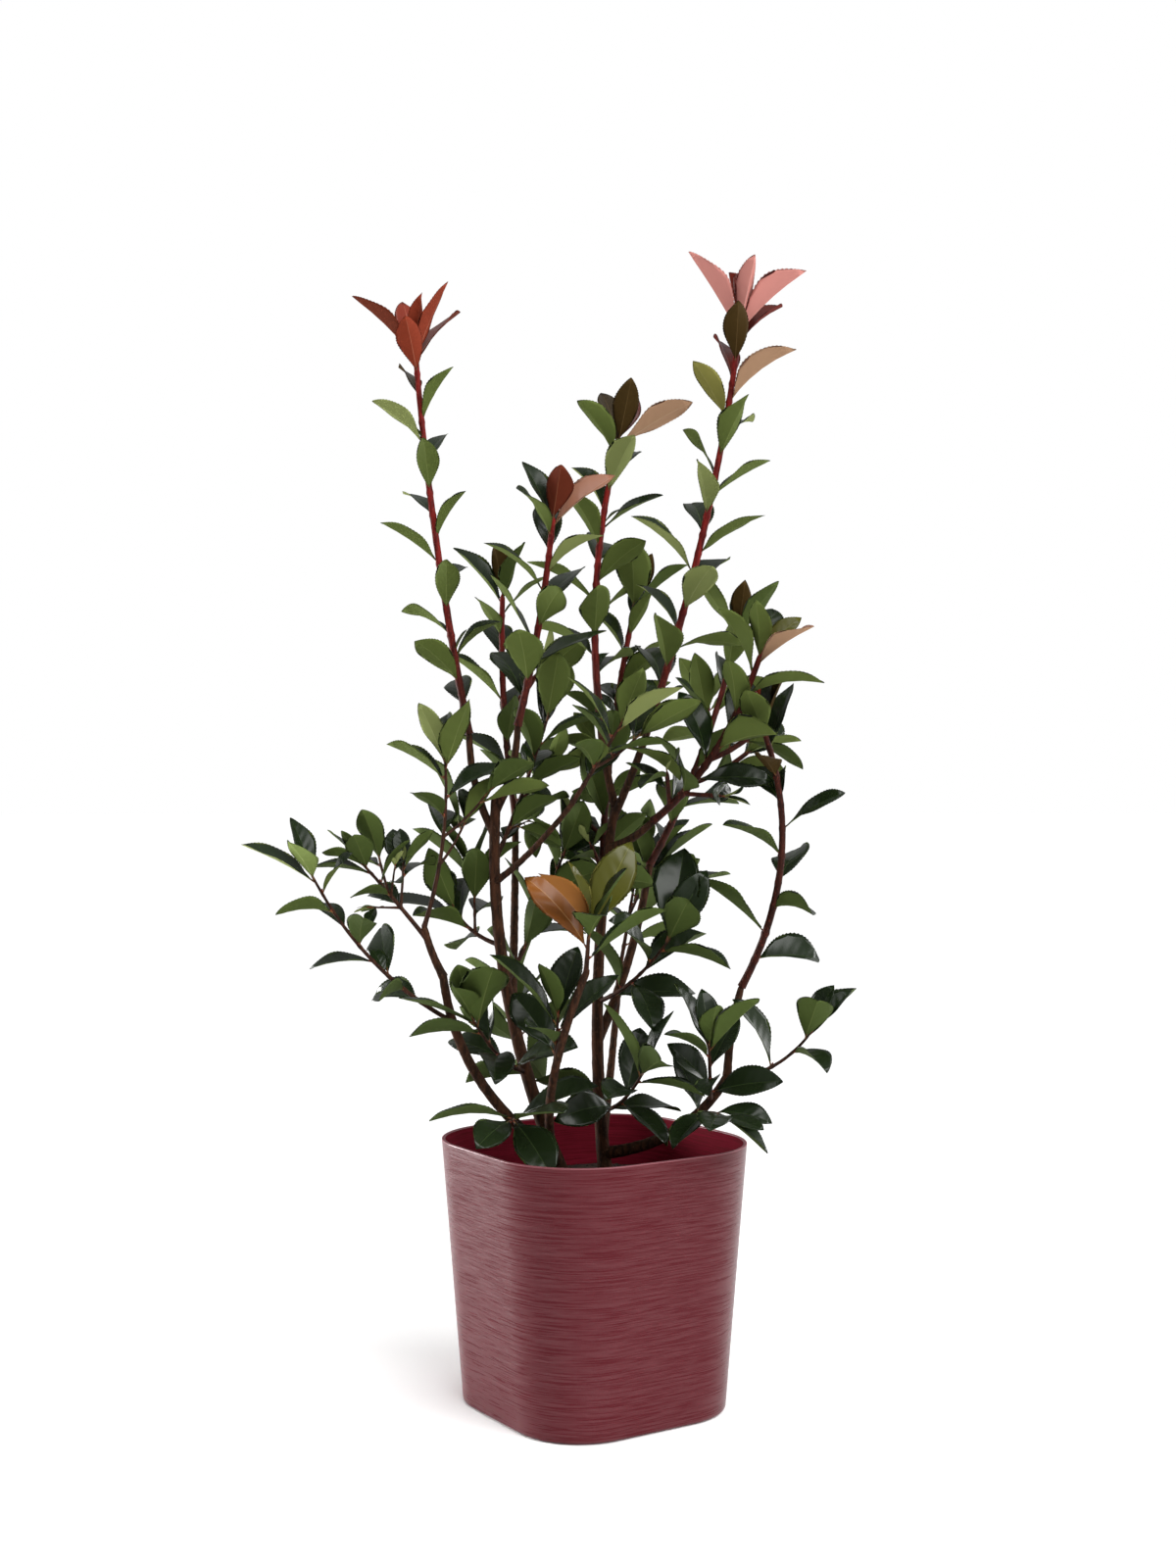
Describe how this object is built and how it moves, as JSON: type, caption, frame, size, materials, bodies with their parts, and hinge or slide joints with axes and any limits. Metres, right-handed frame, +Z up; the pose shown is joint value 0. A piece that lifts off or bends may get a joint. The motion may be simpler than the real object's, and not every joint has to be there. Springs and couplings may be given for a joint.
{
  "type": "photinia red robin shrub in a planter",
  "caption": "Young evergreen shrub with upright red-tipped shoots and glossy leaves, growing in a tapered rounded-square planter filled with compost.",
  "frame": {"origin": "middle of the planter's flat underside", "axes": "+Z up along the plant, -Y towards the front of the plant, +X to the right seen from the front"},
  "size_m": [0.5956, 0.4899, 1.1782],
  "materials": {
    "pot": "satin",
    "compost": "matte",
    "bark": "matte",
    "foliage": "satin"
  },
  "bodies": {
    "root": {"bough_back_left": "bark", "bough_back_low": "bark", "bough_back_right": "bark", "bough_centre_tall": "bark", "bough_front": "bark", "bough_inner": "bark", "bough_left_low": "bark", "bough_left_middle": "bark", "bough_left_outer": "bark", "bough_left_tall": "bark", "bough_right_low": "bark", "bough_right_middle": "bark", "bough_right_outer": "bark", "bough_right_tall": "bark", "compost": "compost", "foliage_back_base": "foliage", "foliage_back_left": "foliage", "foliage_back_low": "foliage", "foliage_back_middle": "foliage", "foliage_back_right": "foliage", "foliage_base_centre": "foliage", "foliage_base_left": "foliage", "foliage_base_right": "foliage", "foliage_centre_tall": "foliage", "foliage_front": "foliage", "foliage_inner": "foliage", "foliage_inner_left": "foliage", "foliage_inner_right": "foliage", "foliage_left_far": "foliage", "foliage_left_fork": "foliage", "foliage_left_middle": "foliage", "foliage_left_rim": "foliage", "foliage_left_side": "foliage", "foliage_left_tall": "foliage", "foliage_middle": "foliage", "foliage_middle_left": "foliage", "foliage_right_base": "foliage", "foliage_right_middle": "foliage", "foliage_right_outer": "foliage", "foliage_right_rim": "foliage", "foliage_right_side": "foliage", "foliage_right_tall": "foliage", "pot": "pot", "stem_centre": "bark", "stem_left": "bark"}
  },
  "joints": []
}
